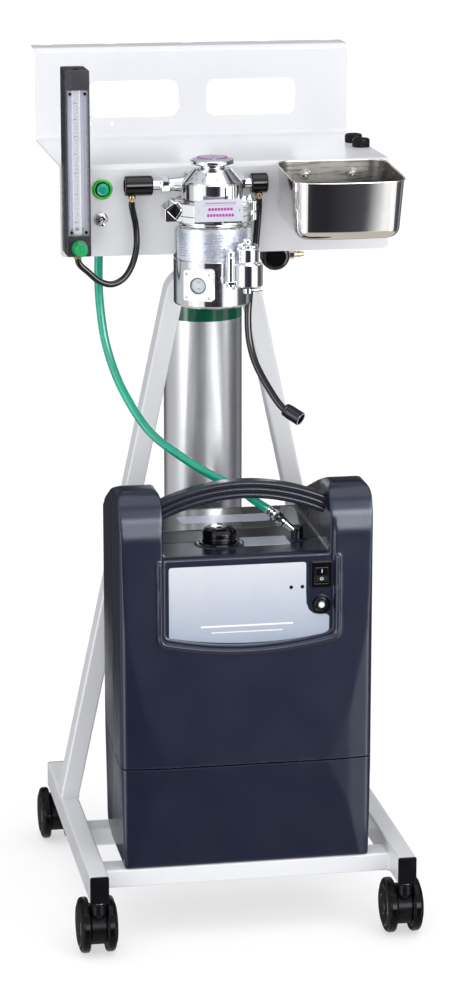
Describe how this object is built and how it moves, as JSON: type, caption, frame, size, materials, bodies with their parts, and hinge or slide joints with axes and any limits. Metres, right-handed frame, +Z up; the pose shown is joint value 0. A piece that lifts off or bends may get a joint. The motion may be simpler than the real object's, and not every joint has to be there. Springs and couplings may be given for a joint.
{
  "type": "anesthesia machine",
  "caption": "Mobile veterinary anesthesia machine: white A-frame cart on twin-wheel casters with flowmeter, vaporizer, utility basin, oxygen cylinder and oxygen concentrator.",
  "frame": {"origin": "on the floor, under the middle of the whole object's plan", "axes": "+Z up, -Y towards the front where the flowmeter, vaporizer and control face are, +X to the right seen from the front"},
  "size_m": [0.47, 0.5426, 1.161],
  "materials": {
    "white_coat": "gloss powder coat",
    "black_plastic": "satin, moulded",
    "navy_plastic": "fine moulded grain with a slight sheen",
    "black_gloss_plastic": "gloss, moulded",
    "black_rubber": "smooth tubing with a soft gloss",
    "green_hose": "smooth green hose with a soft gloss",
    "chrome": "mirror",
    "stainless": "bright polished stainless outside, satin inside",
    "brass": "machined",
    "aluminium": "fine brushed",
    "steel": "zinc-plated",
    "green_plastic": "gloss, moulded",
    "clear_acrylic": "clear, polished",
    "white_plastic": "gloss, moulded"
  },
  "bodies": {
    "machine": {"floor_frame": "white_coat", "a_frame": "white_coat", "shelf_post": "white_coat", "shelf_panel": "white_coat", "front_left_end_cap": "black_gloss_plastic", "rear_left_end_cap": "black_gloss_plastic", "front_right_end_cap": "black_gloss_plastic", "rear_right_end_cap": "black_gloss_plastic", "front_port_plug": "black_gloss_plastic", "rear_port_plug": "black_gloss_plastic", "switch_bezel": "black_gloss_plastic", "oxygen_outlet": "black_gloss_plastic", "basin": "stainless", "left_basin_bolt": "steel", "right_basin_bolt": "steel", "vaporizer_bracket": "steel", "flowmeter_housing": "black_plastic", "regulator_gauge": "black_plastic", "flowmeter_window": "clear_acrylic", "flowmeter_tube": "clear_acrylic", "flush_valve": "green_plastic", "selector_valve": "chrome", "vaporizer_body": "chrome", "sight_glass": "chrome", "filler_block": "chrome", "hose_coupling": "chrome", "inlet_elbow": "black_rubber", "outlet_elbow": "black_rubber", "flowmeter_hose": "black_rubber", "fresh_gas_hose": "black_rubber", "hose_end_connector": "black_rubber", "concentrator_handle": "black_rubber", "oxygen_hose": "green_hose", "oxygen_cylinder": "aluminium", "compressor": "aluminium", "sieve_beds": "aluminium", "cylinder_valve": "brass", "regulator_yoke": "brass", "concentrator_base": "navy_plastic", "concentrator_front": "navy_plastic", "concentrator_rear": "navy_plastic"},
    "front_left_swivel": {"front_left_caster_fork": "black_gloss_plastic"},
    "front_left_wheels": {"front_left_caster_wheels": "black_gloss_plastic"},
    "rear_left_swivel": {"rear_left_caster_fork": "black_gloss_plastic"},
    "rear_left_wheels": {"rear_left_caster_wheels": "black_gloss_plastic"},
    "front_right_swivel": {"front_right_caster_fork": "black_gloss_plastic"},
    "front_right_wheels": {"front_right_caster_wheels": "black_gloss_plastic"},
    "rear_right_swivel": {"rear_right_caster_fork": "black_gloss_plastic"},
    "rear_right_wheels": {"rear_right_caster_wheels": "black_gloss_plastic"},
    "flowmeter_knob": {"flowmeter_knob": "green_plastic"},
    "flowmeter_float": {"flowmeter_float": "black_plastic"},
    "flush_button": {"flush_button": "green_plastic"},
    "selector_lever": {"selector_lever": "chrome"},
    "vaporizer_dial": {"vaporizer_dial": "chrome"},
    "filler_cap": {"filler_cap": "chrome"},
    "drain_screw": {"drain_screw": "chrome"},
    "yoke_screw": {"yoke_screw": "steel"},
    "rocker_switch": {"rocker_switch": "black_gloss_plastic"},
    "reset_button": {"reset_button": "white_plastic"},
    "filter_cap": {"filter_cap": "black_gloss_plastic"}
  },
  "joints": [
    {"name": "front_left_swivel_turn", "type": "hinge", "parent": "machine", "child": "front_left_swivel", "pos_m": [-0.2085, -0.25375, 0.079], "axis": [0, 0, 1], "continuous": true},
    {"name": "front_left_wheel_spin", "type": "hinge", "parent": "front_left_swivel", "child": "front_left_wheels", "pos_m": [-0.2085, -0.23375, 0.0375], "axis": [1, 0, 0], "continuous": true},
    {"name": "rear_left_swivel_turn", "type": "hinge", "parent": "machine", "child": "rear_left_swivel", "pos_m": [-0.2085, 0.19125, 0.079], "axis": [0, 0, 1], "continuous": true},
    {"name": "rear_left_wheel_spin", "type": "hinge", "parent": "rear_left_swivel", "child": "rear_left_wheels", "pos_m": [-0.2085, 0.21125, 0.0375], "axis": [1, 0, 0], "continuous": true},
    {"name": "front_right_swivel_turn", "type": "hinge", "parent": "machine", "child": "front_right_swivel", "pos_m": [0.2085, -0.25375, 0.079], "axis": [0, 0, 1], "continuous": true},
    {"name": "front_right_wheel_spin", "type": "hinge", "parent": "front_right_swivel", "child": "front_right_wheels", "pos_m": [0.2085, -0.23375, 0.0375], "axis": [1, 0, 0], "continuous": true},
    {"name": "rear_right_swivel_turn", "type": "hinge", "parent": "machine", "child": "rear_right_swivel", "pos_m": [0.2085, 0.19125, 0.079], "axis": [0, 0, 1], "continuous": true},
    {"name": "rear_right_wheel_spin", "type": "hinge", "parent": "rear_right_swivel", "child": "rear_right_wheels", "pos_m": [0.2085, 0.21125, 0.0375], "axis": [1, 0, 0], "continuous": true},
    {"name": "flowmeter_knob_turn", "type": "hinge", "parent": "machine", "child": "flowmeter_knob", "pos_m": [-0.204, -0.10175, 0.929], "axis": [0, -1, 0], "range_deg": [0, 630]},
    {"name": "flowmeter_float_rise", "type": "slide", "parent": "machine", "child": "flowmeter_float", "axis": [0, 0, 1], "range_m": [0, 0.175]},
    {"name": "flush_button_press", "type": "slide", "parent": "machine", "child": "flush_button", "axis": [0, 1, 0], "range_m": [0, 0.004], "stiffness_N_per_m": 800},
    {"name": "selector_lever_flip", "type": "hinge", "parent": "machine", "child": "selector_lever", "pos_m": [-0.1679, -0.05275, 0.9578], "axis": [-1, 0, 0], "range_deg": [0, 20]},
    {"name": "vaporizer_dial_turn", "type": "hinge", "parent": "machine", "child": "vaporizer_dial", "pos_m": [-0.0305, -0.11875, 0.9923], "axis": [0, 0, 1], "range_deg": [0, 270]},
    {"name": "filler_cap_turn", "type": "hinge", "parent": "machine", "child": "filler_cap", "pos_m": [0.00581, -0.17918, 0.936], "axis": [0, 0, 1], "range_deg": [0, 630]},
    {"name": "drain_screw_turn", "type": "hinge", "parent": "machine", "child": "drain_screw", "pos_m": [0.00581, -0.17918, 0.8802], "axis": [1, 0, 0], "range_deg": [0, 270]},
    {"name": "yoke_screw_turn", "type": "hinge", "parent": "machine", "child": "yoke_screw", "pos_m": [0.005, 0.17125, 0.9], "axis": [0, 1, 0], "range_deg": [0, 630]},
    {"name": "rocker_switch_tip", "type": "hinge", "parent": "machine", "child": "rocker_switch", "pos_m": [0.1, -0.20815, 0.501], "axis": [-1, 0, 0], "range_deg": [0, 16]},
    {"name": "reset_button_press", "type": "slide", "parent": "machine", "child": "reset_button", "axis": [0, 1, 0], "range_m": [0, 0.0025], "stiffness_N_per_m": 800},
    {"name": "filter_cap_turn", "type": "hinge", "parent": "machine", "child": "filter_cap", "pos_m": [-0.026, -0.14575, 0.53], "axis": [0, 0, 1], "range_deg": [0, 90]}
  ]
}
